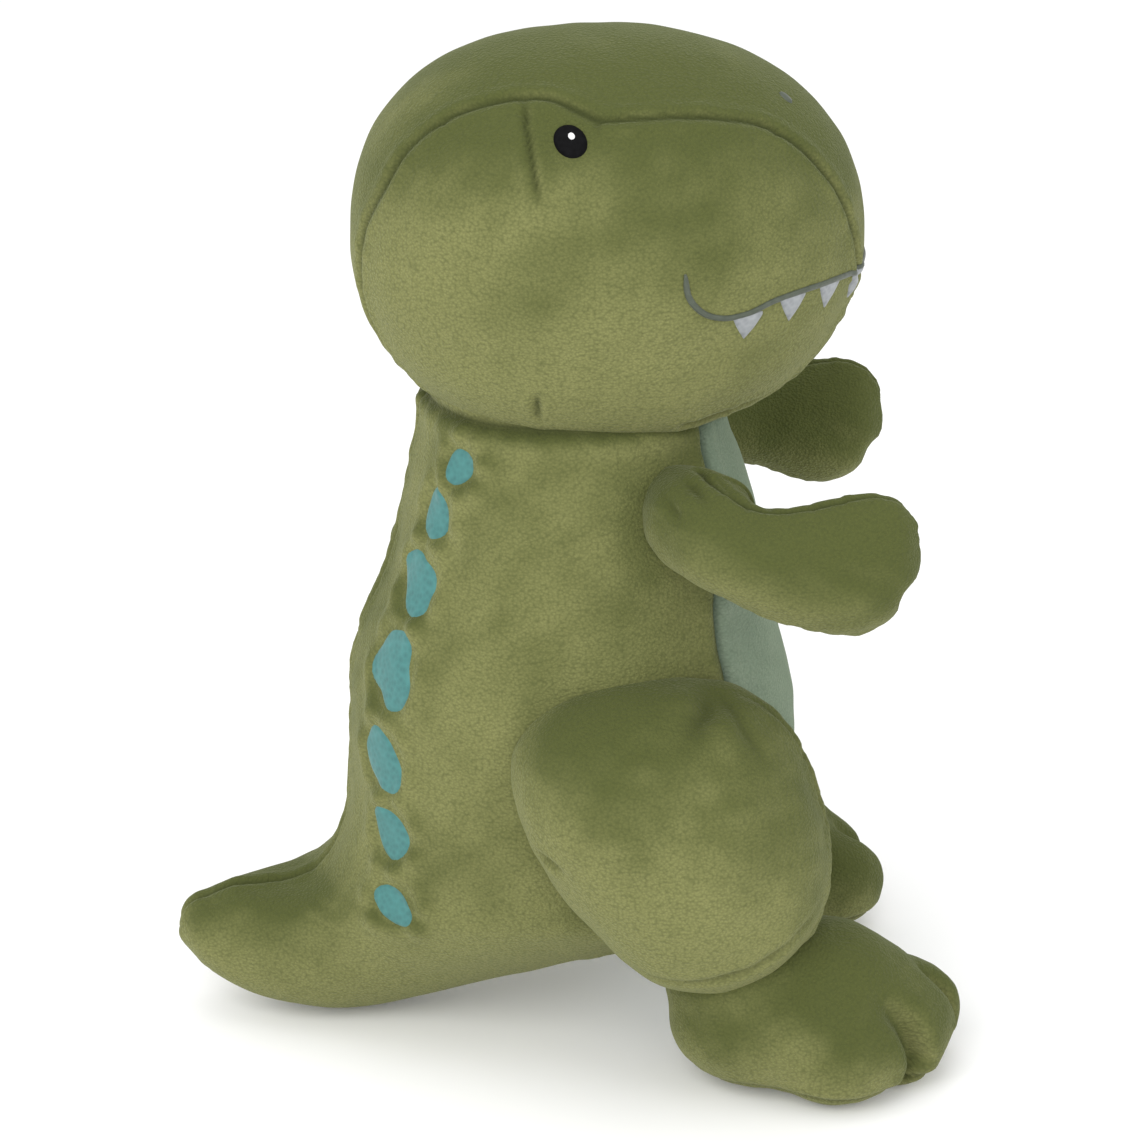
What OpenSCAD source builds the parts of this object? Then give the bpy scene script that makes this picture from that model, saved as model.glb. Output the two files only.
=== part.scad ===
// Sitting plush dinosaur: sewn cloth panels over stuffing, with limbs that flex at their seams.
// +Z is up and the toy faces -Y. The origin is on the floor, under the middle of the toy.

/* [Body] */
// Distance from the middle to the tip of the tail, and to the right foot's toes
half_length = 98; // [93:1:106]
// Half of the body's width at the belly
belly_half_width = 48; // [40:1:56]
// How far the belly stands forward of the middle
belly_front = 58; // [50:1:66]
// How far the back stands behind the middle
belly_back = 53; // [46:1:60]
// Height of the neck seam above the floor
neck_height = 165; // [150:1:180]
// Half of the angle that the belly panel covers
belly_panel_angle = 50; // [35:1:60]
// Distance from the middle to the flat where each leg is sewn on
hip_flat = 45; // [42:1:47]
// Distance from the middle to the flat where each arm is sewn on
shoulder_flat = 43; // [41:1:45]

/* [Head] */
// Half of the head's width
head_half_width = 52; // [45:1:58]
// Half of the head's length, from the back to the nose
head_half_length = 62; // [54:1:70]
// Half of the head's height
head_half_height = 49; // [43:1:55]
// Half of the top gusset's width between the eyes
gusset_half_width = 29; // [24:1:33]
// Half of the gussets' width where they meet at the mouth
mouth_half_width = 14; // [11:1:17]
// Angle of the mouth seam below the middle of the nose
mouth_drop = 7; // [3:1:12]

/* [Neck] */
// Radius of the ball of stuffing that the head turns on
neck_ball = 38; // [34:1:42]

/* [Arm] */
// Depth of the shoulder below the neck seam
shoulder_drop = 20; // [16:1:26]
// How far the shoulder sits forward of the middle
shoulder_forward = 30; // [24:1:34]
// Reach of the arm forward of its shoulder
arm_reach = 54; // [45:1:62]
// Radius of the arm at its shoulder seam
arm_root = 14; // [11:0.5:16]
// Half of the hand's height
hand_half_height = 17; // [14:0.5:20]
// Half of the hand's thickness
hand_half_thick = 11; // [9:0.5:13]
// How much further forward the left hand reaches than the right, halved
arm_stagger = 4; // [0:1:6]

/* [Leg] */
// Gap between the thigh's lowest point and the floor
hip_lift = 27; // [22:1:34]
// How far the hip sits behind the heel
hip_over_heel = 3.3; // [0:0.1:8]
// Radius of the round thigh
thigh_radius = 38; // [34:1:41]
// Thickness of the thigh, out from the body
thigh_thick = 32; // [26:1:38]
// Length of the foot, from heel to middle toe
foot_length = 66; // [58:1:74]
// Half of the foot's width
foot_half_width = 22; // [19:1:25]
// Height of the foot at its instep
foot_height = 39; // [34:1:44]
// Outward turn of the foot
foot_splay = 12; // [6:1:20]
// How much further forward the right foot stands than the left, halved
leg_stagger = 4; // [0:1:6]

/* [Tail] */
// Radius of the tail at its root
tail_root = 24; // [20:1:27]
// Radius of the tail near its tip
tail_tip = 13; // [10:1:16]

/* [Cloth] */
// Thickness of the plush cloth, with its pile
cloth = 1.5; // [1:0.1:2]
// Gap between the cloth and the stuffing behind it
slack = 1; // [0.8:0.1:1.5]
// Gap between parts that move against each other
flex_gap = 1; // [0.8:0.1:2]
// Thickness of the embroidery
thread = 1; // [0.8:0.1:1.5]

/* [Hidden] */

skin = "#7d8a4f";
belly = "#8b9e86";
teal = "#5fa8a3";
fill = "#f2f0ea";

// The neck ball's middle sits a little under the neck seam.
ball_drop = 9;
neck_centre = [0, -3, neck_height - ball_drop];
neck_rim = sqrt(neck_ball * neck_ball - ball_drop * ball_drop);
// The head sinks a little way over the ball, and leans forward of the neck.
head_sink = 8;
head_centre = [0, -12, neck_height + head_half_height - head_sink];
shoulder_height = neck_height - shoulder_drop;
inset_fill = cloth + slack;
// Thickness of the flat pieces under the seat and the feet.
sole_thick = 1.2;

// ---- Closed forms from rows of points ----

// Index of point j of row i, where a row may be a single point.
function starts(rows) = [for (i = 0, s = 0; i < len(rows); s = s + len(rows[i]), i = i + 1) s];
function at(rows, first, i, j) = first[i] + min(j, len(rows[i]) - 1);
function flat(rows) = [for (row = rows, p = row) p];
function whole(faces) = [for (f = faces) if (f[0] != f[1] && f[1] != f[2] && f[2] != f[0]) f];
function quad(a, b, c, d) = [[a, b, c], [a, c, d]];

// A stuffed form: rows run from pole to pole, and each row is a closed ring.
module stuffed(rows) {
    first = starts(rows);
    ring = max([for (row = rows) len(row)]);
    faces = [
        for (i = [0 : len(rows) - 2], j = [0 : ring - 1])
            let (k = (j + 1) % ring)
            each quad(at(rows, first, i, j), at(rows, first, i + 1, j),
                      at(rows, first, i + 1, k), at(rows, first, i, k))
    ];
    polyhedron(flat(rows), whole(faces), convexity = 6);
}

// A cloth panel: an outer grid and an inner grid, joined round their edge.
module sewn(outer, inner) {
    first = starts(outer);
    n = len(outer) - 1;
    m = max([for (row = outer) len(row)]) - 1;
    count = len(flat(outer));
    o = function (i, j) at(outer, first, i, j);
    p = function (i, j) count + at(outer, first, i, j);
    sides = [for (i = [0 : n - 1], j = [0 : m - 1]) each concat(
        quad(o(i, j), o(i + 1, j), o(i + 1, j + 1), o(i, j + 1)),
        quad(p(i, j), p(i, j + 1), p(i + 1, j + 1), p(i + 1, j)))];
    ends = [for (j = [0 : m - 1]) each concat(
        quad(o(0, j), o(0, j + 1), p(0, j + 1), p(0, j)),
        quad(o(n, j + 1), o(n, j), p(n, j), p(n, j + 1)))];
    edges = [for (i = [0 : n - 1]) each concat(
        quad(o(i + 1, 0), o(i, 0), p(i, 0), p(i + 1, 0)),
        quad(o(i, m), o(i + 1, m), p(i + 1, m), p(i, m)))];
    polyhedron(flat(concat(outer, inner)), whole(concat(sides, ends, edges)), convexity = 6);
}

module on_side(side) {
    if (side == "right") mirror([1, 0, 0]) children();
    else children();
}

// Rows of a panel between two edges, each given as a function of the row's own value.
function grid(shape, values, low, high, columns, inset) = [
    for (v = values) [for (j = [0 : columns])
        shape(v, low(v) + (high(v) - low(v)) * j / columns, inset)]
];

// ---- Body ----

// Each row: share of the neck's height, half width, front edge and back edge.
// Edges are counted backward from the middle.
body_shape = [
    [0, 18, 14, 46],
    [0.03, 28, 4, 51],
    [0.073, 36, -8, 54],
    [0.121, 41, -24, 55],
    [0.182, 45, -42, belly_back + 2],
    [0.267, belly_half_width, -(belly_front - 3), belly_back + 1],
    [0.376, belly_half_width, -belly_front, belly_back],
    [0.497, belly_half_width, -belly_front, belly_back],
    [0.606, belly_half_width - 1, -(belly_front - 3), belly_back - 1],
    [0.715, shoulder_flat + 2, -51, 45],
    [0.812, shoulder_flat + 0.5, -48.5, 39],
    [0.891, neck_ball + 3, -(neck_ball + 7.5), neck_ball - 2],
];
body_rows = concat(
    [for (row = body_shape) [row[0] * neck_height, row[1], row[2], row[3]]],
    [[neck_height - ball_drop, neck_ball, neck_centre[1] - neck_ball, neck_centre[1] + neck_ball],
     [neck_height, neck_rim, neck_centre[1] - neck_rim, neck_centre[1] + neck_rim]]
);

function column(rows, k) = [for (row = rows) [row[0], row[k]]];
body_width = column(body_rows, 1);
body_front = column(body_rows, 2);
body_back = column(body_rows, 3);
inner_heights = [for (i = [1 : len(body_rows) - 2]) body_rows[i][0]];
body_heights = concat([sole_thick + 0.3], inner_heights, [neck_height - 0.5]);
// Above this height the sides are flattened for the arms, and below it for the legs.
flat_change = 0.73 * neck_height;

// Point on the body at height z and angle a from the front, moved in by inset.
skin_body = function (z, a, inset)
    let (
        w = lookup(z, body_width) - inset,
        front = lookup(z, body_front) + inset,
        back = lookup(z, body_back) - inset,
        side = (z > flat_change ? shoulder_flat : hip_flat) - inset
    )
    [max(-side, min(side, w * sin(a))), (back + front) / 2 - (back - front) / 2 * cos(a), z];

// Half angle of the belly panel at height z: narrower under the seat and at the neck.
panel_edge = function (z)
    belly_panel_angle * lookup(z / neck_height, [[0, 0.4], [0.25, 1], [0.73, 1], [1, 0.78]]);
other_panel_edge = function (z) -panel_edge(z);
back_seam = function (z) 180;

module body_side() {
    color(skin) sewn(
        grid(skin_body, body_heights, panel_edge, back_seam, 12, 0),
        grid(skin_body, body_heights, panel_edge, back_seam, 12, cloth));
}
module belly_panel() {
    color(belly) sewn(
        grid(skin_body, body_heights, other_panel_edge, panel_edge, 10, 0),
        grid(skin_body, body_heights, other_panel_edge, panel_edge, 10, cloth));
}
module seat_panel() {
    color(skin) linear_extrude(sole_thick)
        polygon([for (a = [0 : 15 : 345]) let (p = skin_body(0, a, 0)) [p[0], p[1]]]);
}

function body_ring(z, inset) = [for (a = [0 : 15 : 345]) skin_body(z, a, inset)];
function ball_ring(r, lift) = [for (a = [0 : 15 : 345])
    neck_centre + r * [cos(lift) * sin(a), -cos(lift) * cos(a), sin(lift)]];

// The bag of pellets fills the seat, and the loose stuffing starts a little above it.
pouch_rows = 4;
pouch_low = sole_thick + 1.8;
pouch_top = inner_heights[pouch_rows - 1];
module pellet_pouch() {
    color("#d9d2c4") stuffed(concat(
        [[[0, 30, pouch_low]]],
        [for (z = concat([pouch_low], [for (i = [0 : pouch_rows - 1]) inner_heights[i]]))
            body_ring(z, inset_fill + 2)],
        [[[0, 5, pouch_top + 1]]]));
}
module body_stuffing() {
    ball = neck_ball - inset_fill;
    low = pouch_top + 4;
    color(fill) stuffed(concat(
        [[[0, 5, low]]],
        [for (z = concat([low], [for (i = [pouch_rows : len(inner_heights) - 1]) inner_heights[i]]))
            body_ring(z, inset_fill)],
        [for (lift = [15 : 15 : 75]) ball_ring(ball, lift)],
        [[neck_centre + [0, 0, ball]]]));
}

// Seven spots down each side of the back.
// Each one: share of the neck's height, angle from the back, half width, half height.
spots = [
    [0.921, 44, 4.2, 4.6],
    [0.848, 41, 5, 6.4],
    [0.739, 39, 6.5, 8],
    [0.612, 35, 8, 10.5],
    [0.461, 33, 7.2, 8.2],
    [0.345, 36, 6.2, 6.6],
    [0.236, 41, 5.6, 4.8],
];
// Gap between a sewn mark and the cloth under it.
sewn_gap = 0.4;

// A thin lens of thread, sewn on a surface around one of its points.
module patch(at_point, lift) {
    rim = [for (k = [0.55, 1])
        [for (b = [0 : 22.5 : 337.5]) at_point(k * cos(b), k * sin(b), -lift - thread)]];
    under = [for (k = [1, 0.55]) [for (b = [0 : 22.5 : 337.5]) at_point(k * cos(b), k * sin(b), -lift)]];
    stuffed(concat([[at_point(0, 0, -lift - thread)]], rim, under, [[at_point(0, 0, -lift)]]));
}
module spot(i) {
    s = spots[i - 1];
    z = s[0] * neck_height;
    around = s[2] / (lookup(z, body_width) * PI / 180);
    color(teal) patch(function (p, q, inset)
        skin_body(z + q * s[3], 180 - s[1] + p * around, inset), sewn_gap);
}

// ---- Head: angle b runs round the side-to-side axis, from the nose up over the top ----

seam_width = [
    [-110, 30], [-67, 30], [-52, 27], [-38, 20],
    [-mouth_drop, mouth_half_width], [13, mouth_half_width + 0.5],
    [28, 17], [50, 20.5], [64, gusset_half_width - 4], [77, gusset_half_width], [92, gusset_half_width],
    [101, gusset_half_width - 4], [111, 22], [122, 19], [135, 18], [165, 16.5], [250, 18],
];

// Point on the head at distance x from its middle plane and angle b, moved in by inset.
skin_head = function (b, x, inset)
    let (
        k = x / head_half_width,
        s = sqrt(max(0, 1 - k * k))
    )
    head_centre + [
        k * (head_half_width - inset),
        -s * cos(b) * (head_half_length - inset),
        s * sin(b) * (head_half_height - inset)
    ];

head_edge = function (b) lookup(b, seam_width);
other_head_edge = function (b) -head_edge(b);
// Both gussets share these angles with the sides of the head, so that their edges meet all along.
chin_angles = [-90, -78, -67, -52, -38, -22, -mouth_drop];
top_angles = concat([-mouth_drop], [for (b = [0 : 12 : 216]) b], [226]);
head_angles = concat([-98], chin_angles,
    [for (i = [1 : len(top_angles) - 1]) top_angles[i]], [234, 243, 252]);

module neck_socket() {
    difference() {
        children();
        translate(neck_centre) sphere(neck_ball + flex_gap, $fn = 240);
    }
}
module head_top_gusset() {
    color(skin) neck_socket() sewn(
        grid(skin_head, top_angles, head_edge, other_head_edge, 6, 0),
        grid(skin_head, top_angles, head_edge, other_head_edge, 6, cloth));
}
module chin_gusset() {
    color(skin) neck_socket() sewn(
        grid(skin_head, chin_angles, head_edge, other_head_edge, 6, 0),
        grid(skin_head, chin_angles, head_edge, other_head_edge, 6, cloth));
}
function head_side_ring(k, inset) = [for (b = head_angles)
    skin_head(b, head_half_width + (head_edge(b) - head_half_width) * k, inset)];
module head_side() {
    steps = [0.06, 0.2, 0.42, 0.68, 1];
    color(skin) neck_socket() stuffed(concat(
        [[skin_head(0, head_half_width, 0)]],
        [for (k = steps) head_side_ring(k, 0)],
        [for (i = [4 : -1 : 0]) head_side_ring(steps[i], cloth)],
        [[skin_head(0, head_half_width, cloth)]]));
}
module head_stuffing() {
    inner = head_half_width;
    color(fill) neck_socket() stuffed(concat(
        [[skin_head(0, inner, inset_fill)]],
        [for (c = [15 : 15 : 165]) [for (b = head_angles) skin_head(b, inner * cos(c), inset_fill)]],
        [[skin_head(0, -inner, inset_fill)]]));
}

// A sewn mark on the head.
module head_mark(mark, lift) {
    patch(function (p, q, inset)
        skin_head(mark[0] + q * mark[3] * 180 / PI / head_half_height,
                  mark[1] * head_half_width + p * mark[2], inset), lift);
}
// Each mark: angle, share of the head's half width from the middle plane, half width, half height.
eye_mark = [106, 0.74, 3.2, 4.2];
glint_mark = [108, 0.72, 0.8, 0.9];
nostril_mark = [48, 0.3, 1.4, 1];
module eye() {
    color("#17181a") head_mark(eye_mark, sewn_gap);
}
module eye_glint() {
    color("white") head_mark(glint_mark, sewn_gap + thread + 0.2);
}
module nostril() {
    color("#33452c") head_mark(nostril_mark, sewn_gap);
}

// The mouth line runs round the muzzle, sagging on each side, and turns up at its corners.
mouth_sag = 4.5;
mouth_turn = 0.81 * head_half_width;
corner_rise = 4.4;
mouth_reach = 0.92 * head_half_width;
mouth_half_thick = 0.6;
tooth_half_width = 3.6;
tooth_drop = 7;
tooth_gap = 0.9;
near = -sewn_gap;
far = near - thread;
mouth = function (x)
    let (d = abs(x))
    -mouth_drop - (d > mouth_turn
        ? mouth_sag - (d - mouth_turn) * corner_rise
        : mouth_sag * sin(d * 90 / mouth_turn));
function mouth_row(inset, rise) = [for (k = [-24 : 24])
    let (x = mouth_reach * k / 24) skin_head(mouth(x) + rise, x, inset)];
function mouth_rows(inset) = [mouth_row(inset, mouth_half_thick), mouth_row(inset, -mouth_half_thick)];
module mouth_line() {
    color("#3b4236") sewn(mouth_rows(far), mouth_rows(near));
}
module tooth(x) {
    rows = function (inset) [
        [for (s = [-1 : 1]) let (u = x + s * tooth_half_width * sqrt(1 - pow(x / head_half_width, 2)))
            skin_head(mouth(u) - mouth_half_thick - tooth_gap, u, inset)],
        [skin_head(mouth(x) - tooth_drop, x, inset)],
    ];
    sewn(rows(far), rows(near));
}
// Places of the teeth, as shares of the head's half width.
tooth_places = [0.34, 0.58, 0.755, 0.868];
module teeth() {
    color("silver") for (place = tooth_places) tooth(place * head_half_width);
}

// ---- Arm: rows of out, forward, heading, half height, half thickness ----

arm_rows = [
    [0, 0, 0, arm_root, arm_root],
    [9, 0.07 * arm_reach, 30, arm_root - 0.5, arm_root - 1],
    [14.5, 0.27 * arm_reach, 68, arm_root - 1.5, arm_root - 3],
    [16, 0.5 * arm_reach, 88, arm_root - 1.5, hand_half_thick - 0.5],
    [15, 0.68 * arm_reach, 94, hand_half_height - 2.5, hand_half_thick],
    [14, 0.84 * arm_reach, 94, hand_half_height, hand_half_thick],
    [13, 0.95 * arm_reach, 94, hand_half_height * 0.72, hand_half_thick * 0.7],
];
skin_arm = function (i, b, inset)
    let (
        row = arm_rows[i],
        out = sin(row[2]),
        reach = (row[4] - inset) * cos(b)
    )
    [row[0] + reach * out, -row[1] + reach * cos(row[2]), -0.08 * row[1] + (row[3] - inset) * sin(b)];
function arm_tip(inset) = [13, -arm_reach + inset, -0.08 * arm_reach];
function arm_half(low, inset) = concat(
    [for (i = [0 : len(arm_rows) - 1]) [for (j = [0 : 8]) skin_arm(i, low + j * 22.5, inset)]],
    [[arm_tip(inset)]]);

module place_arm(side) {
    back = side == "right" ? arm_stagger : -arm_stagger;
    on_side(side) translate([shoulder_flat + flex_gap, back - shoulder_forward, shoulder_height]) children();
}
module arm_outer() {
    color(skin) sewn(arm_half(-90, 0), arm_half(-90, cloth));
}
module arm_inner() {
    color(skin) sewn(arm_half(90, 0), arm_half(90, cloth));
}
module arm_stuffing() {
    color(fill) stuffed(concat(
        [[[0.5, 0, 0]]],
        [for (i = [0 : len(arm_rows) - 1]) [for (b = [0 : 22.5 : 337.5]) skin_arm(i, b, inset_fill)
            + (i == 0 ? [0.5, 0, 0] : [0, 0, 0])]],
        [[arm_tip(inset_fill)]]));
}

// ---- Thigh: a round cushion with its flat side against the body ----

thigh_seam = 12;
hip_height = thigh_radius + hip_lift;
function thigh_ring(x, r) = [for (b = [0 : 15 : 345]) [x, r * sin(b), r * cos(b)]];
function dome(inset) = [for (q = [20, 38, 55, 72, 90])
    thigh_ring(thigh_seam + (thigh_thick - thigh_seam - inset) * cos(q), (thigh_radius - inset) * sin(q))];
function cup(inset) = [
    thigh_ring(thigh_seam, thigh_radius - inset),
    thigh_ring(5, thigh_radius - 1.5 - inset),
    thigh_ring(inset, thigh_radius - 6 - inset),
];
function backward(rows) = [for (i = [len(rows) - 1 : -1 : 0]) rows[i]];

module place_thigh(side) {
    back = side == "right" ? -leg_stagger : leg_stagger;
    on_side(side) translate([hip_flat + flex_gap, back - hip_forward, hip_height]) children();
}
module thigh_outer() {
    color(skin) stuffed(concat(
        [[[thigh_thick, 0, 0]]], dome(0), backward(dome(cloth)), [[[thigh_thick - cloth, 0, 0]]]));
}
module thigh_inner() {
    color(skin) stuffed(concat([[[cloth, 0, 0]]], backward(cup(cloth)), cup(0), [[[0, 0, 0]]]));
}
module thigh_stuffing() {
    color(fill) stuffed(concat(
        [[[thigh_thick - inset_fill, 0, 0]]], dome(inset_fill), cup(inset_fill), [[[inset_fill, 0, 0]]]));
}

// ---- Foot: rows of height, middle, half length and half width, with three toes ----

heel_out = 46;
foot_rows = [
    [sole_thick + 0.2, 0.5, 0.47, 0.93],
    [6, 0.5, 0.5, 1],
    [15, 0.5, 0.5, 1],
    [0.56 * foot_height, 0.5, 0.45, 0.95],
    [0.72 * foot_height, 0.5, 0.36, 0.82],
    [0.87 * foot_height, 0.51, 0.22, 0.58],
    [0.97 * foot_height, 0.52, 0.11, 0.3],
];
toe_notch = 4.5;
function notch_at(a) = toe_notch * max(0, 1 - abs(abs(a) - 18) / 9);
skin_foot = function (i, a, inset)
    let (
        row = foot_rows[i],
        l = row[2] * foot_length - inset,
        w = row[3] * foot_half_width - inset,
        r = l * w / sqrt(pow(w * cos(a), 2) + pow(l * sin(a), 2)) - notch_at(a) * (i < 4 ? 1 : 0)
    )
    [r * sin(a), -row[1] * foot_length - r * cos(a), row[0] + (i == 0 ? max(0, inset - cloth) : 0)];
foot_angles = [for (a = [-36 : 9 : 36]) a, for (a = [54 : 18 : 306]) a];
function foot_ring(i, inset) = [for (a = foot_angles) skin_foot(i, a, inset)];
foot_top = [0, -0.52 * foot_length, foot_height];
toes_ahead = max([for (p = foot_ring(1, 0)) -p[1] * cos(foot_splay) - p[0] * sin(foot_splay)]);
heel_forward = half_length - leg_stagger - toes_ahead;

module place_foot(side) {
    back = side == "right" ? -leg_stagger : leg_stagger;
    on_side(side) translate([heel_out, back - heel_forward, 0]) rotate([0, 0, foot_splay]) children();
}
// Room above the foot for the thigh, which turns on the hip.
hip_forward = heel_forward - hip_over_heel;
module thigh_room(gap) {
    difference() {
        children();
        rotate([0, 0, -foot_splay])
            translate([-heel_out, heel_forward - hip_forward, hip_height]) rotate([0, 90, 0])
                cylinder(4 * heel_out, thigh_radius + gap, thigh_radius + gap, center = true, $fn = 120);
    }
}
module foot_upper() {
    last = len(foot_rows) - 1;
    color(skin) thigh_room(flex_gap) stuffed(concat(
        [[foot_top]],
        [for (i = [last : -1 : 0]) foot_ring(i, 0)],
        [for (i = [0 : last]) foot_ring(i, cloth)],
        [[foot_top - [0, 0, cloth]]]));
}
module foot_sole() {
    color(skin) linear_extrude(sole_thick) polygon([for (p = foot_ring(0, 0)) [p[0], p[1]]]);
}
module foot_stuffing() {
    last = len(foot_rows) - 1;
    top = foot_top - [0, 0, inset_fill + 1];
    color(fill) thigh_room(flex_gap + slack) stuffed(concat(
        [[top]],
        [for (i = [last - 1 : -1 : 0]) foot_ring(i, inset_fill + 0.4)],
        [[[0, -foot_length / 2, sole_thick + 1.2]]]));
}

// ---- Tail: swings round an upright line inside the body ----

tail_swing_y = 8;
tail_face = belly_back + 2 - tail_swing_y + flex_gap + 0.6;
// Each row: distance back, height of the middle, radius.
tail_rows = [
    [66, 23.8, tail_root - 2],
    [76, 19.8, tail_root - 6],
    [half_length - 13, 17.6, tail_tip + 1.5],
    [half_length - 6, 19, tail_tip],
    [half_length - 2, 20, tail_tip * 0.7],
];
function on_face(x, z) = [x, tail_swing_y + sqrt(tail_face * tail_face - x * x), z];
skin_tail = function (i, b, inset)
    i == 0
        ? let (r = tail_root - inset) on_face(r * sin(b), tail_root + 2 + r * cos(b))
        : let (row = tail_rows[i - 1], r = row[2] - inset) [r * sin(b), row[0], row[1] + r * cos(b)];
function tail_tip_point(inset) = [0, half_length - inset, 21];
function tail_half(low, inset) = concat(
    [for (i = [0 : len(tail_rows)]) [for (j = [0 : 10]) skin_tail(i, low - j * 18, inset)]],
    [[tail_tip_point(inset)]]);

module tail_side() {
    color(skin) sewn(tail_half(180, 0), tail_half(180, cloth));
}
module tail_stuffing() {
    r = tail_root - inset_fill;
    color(fill) stuffed(concat(
        [[on_face(0, tail_root + 2)]],
        [for (k = [0.5, 1])
            [for (b = [345 : -15 : 0]) on_face(k * r * sin(b), tail_root + 2 + k * r * cos(b))]],
        [for (i = [1 : len(tail_rows)]) [for (b = [345 : -15 : 0]) skin_tail(i, b, inset_fill)]],
        [[tail_tip_point(inset_fill)]]));
}

// A blank ribbon loop that stands out of the left side, low behind the thigh.
tag_angle = 120;
tag_low = 18;
tag_size = [12, 1, 18];
module label_tag() {
    p = skin_body(tag_low + tag_size[2], tag_angle, -1);
    color("#f4f4f2") translate([p[0], p[1], tag_low]) rotate([0, 0, tag_angle - 90])
        translate([0, -tag_size[1] / 2, 0]) cube(tag_size);
}

// ---- The whole toy ----

head_top_gusset();
on_side("right") head_side();  // head_side_right
on_side("left") head_side();  // head_side_left
chin_gusset();
head_stuffing();
mouth_line();
on_side("right") body_side();  // body_side_right
on_side("left") body_side();  // body_side_left
belly_panel();
seat_panel();
body_stuffing();
pellet_pouch();
on_side("right") tail_side();  // tail_side_right
on_side("left") tail_side();  // tail_side_left
tail_stuffing();
label_tag();
for (side = ["right", "left"]) {
    on_side(side) eye();
    on_side(side) eye_glint();
    on_side(side) nostril();
    on_side(side) teeth();
    place_arm(side) arm_outer();
    place_arm(side) arm_inner();
    place_arm(side) arm_stuffing();
    place_thigh(side) thigh_outer();
    place_thigh(side) thigh_inner();
    place_thigh(side) thigh_stuffing();
    place_foot(side) foot_upper();
    place_foot(side) foot_sole();
    place_foot(side) foot_stuffing();
    for (i = [1 : 7])
        on_side(side) spot(i);
}
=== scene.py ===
import math

import bpy
import numpy as np
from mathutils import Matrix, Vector
from mathutils.bvhtree import BVHTree
from mathutils.kdtree import KDTree


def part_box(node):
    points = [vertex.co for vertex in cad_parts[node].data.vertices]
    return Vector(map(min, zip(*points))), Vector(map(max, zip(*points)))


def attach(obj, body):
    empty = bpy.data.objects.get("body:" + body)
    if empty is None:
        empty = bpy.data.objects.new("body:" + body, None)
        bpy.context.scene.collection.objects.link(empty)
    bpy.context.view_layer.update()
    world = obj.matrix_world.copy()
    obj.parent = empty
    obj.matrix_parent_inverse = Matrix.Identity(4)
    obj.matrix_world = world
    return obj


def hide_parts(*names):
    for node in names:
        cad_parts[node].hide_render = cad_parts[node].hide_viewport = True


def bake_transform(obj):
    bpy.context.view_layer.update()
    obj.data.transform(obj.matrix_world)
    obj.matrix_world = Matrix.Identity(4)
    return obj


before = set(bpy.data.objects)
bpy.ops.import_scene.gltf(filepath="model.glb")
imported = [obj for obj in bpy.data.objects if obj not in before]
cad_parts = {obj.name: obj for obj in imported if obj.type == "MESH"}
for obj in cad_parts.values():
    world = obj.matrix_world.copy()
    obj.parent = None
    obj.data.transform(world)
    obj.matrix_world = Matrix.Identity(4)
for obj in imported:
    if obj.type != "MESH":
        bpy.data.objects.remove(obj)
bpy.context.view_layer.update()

MM = 0.001
SIDES = {-1: "right", 1: "left"}

# ---- Shared helpers. Points are numpy rows in millimetres until a piece is made. ----


def run_of(points):
    """How far along a line of points each of them lies."""
    return np.concatenate([[0], np.cumsum(np.linalg.norm(np.diff(points, axis=0), axis=1))])


def smooth_rows(keys, steps):
    """Rows of numbers, spread along a smooth curve through the given rows."""
    keys = np.array(keys, float)
    place = run_of(keys[:, :4])
    want = np.linspace(0, place[-1], steps)
    slope = np.gradient(keys, place, axis=0)
    i = np.clip(np.searchsorted(place, want, side="right") - 1, 0, len(keys) - 2)
    width = place[i + 1] - place[i]
    t = ((want - place[i]) / width)[:, None]
    width = width[:, None]
    a = (2 * t**3 - 3 * t**2 + 1) * keys[i]
    b = (t**3 - 2 * t**2 + t) * width * slope[i]
    c = (3 * t**2 - 2 * t**3) * keys[i + 1]
    d = (t**3 - t**2) * width * slope[i + 1]
    return a + b + c + d


def ring_faces(rows, around, closed=True):
    """Faces of a grid of rows, with the last row of each ring joined to the first."""
    faces = []
    span = around if closed else around - 1
    for i in range(rows - 1):
        for j in range(span):
            k = (j + 1) % around
            faces.append((i * around + j, (i + 1) * around + j, (i + 1) * around + k, i * around + k))
    return faces


def capped(points, faces, rows, around):
    """Closes a tube of rings with a point at each end."""
    points = np.vstack([points, points[:around].mean(0), points[-around:].mean(0)])
    first, last = len(points) - 2, len(points) - 1
    end = (rows - 1) * around
    for j in range(around):
        k = (j + 1) % around
        faces.append((first, j, k))
        faces.append((last, end + k, end + j))
    return points, faces


def wavy(points, scale, seed):
    """A smooth, repeatable unevenness between -1 and 1, with bumps about as wide as scale."""
    rng = np.random.default_rng(seed)
    total = np.zeros(len(points))
    for _ in range(9):
        direction = rng.normal(size=3)
        direction *= rng.uniform(0.7, 1.5) / np.linalg.norm(direction)
        total += np.sin(points @ direction * (2 * math.pi / scale) + rng.uniform(0, 2 * math.pi))
    return total / 4.5


def make(name, points, faces):
    """A new piece from points in millimetres, which also keeps each point's first place as home."""
    mesh = bpy.data.meshes.new(name)
    mesh.from_pydata((np.asarray(points) * MM).tolist(), [], [tuple(int(v) for v in f) for f in faces])
    mesh.update()
    obj = bpy.data.objects.new(name, mesh)
    bpy.context.scene.collection.objects.link(obj)
    give(obj, "home", points * MM)
    mesh.shade_smooth()
    return obj


def give(obj, name, values):
    values = np.asarray(values, np.float32)
    kind = "FLOAT_VECTOR" if values.ndim == 2 else "FLOAT"
    layer = obj.data.attributes.get(name) or obj.data.attributes.new(name, kind, "POINT")
    layer.data.foreach_set("vector" if values.ndim == 2 else "value", values.ravel())


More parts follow.
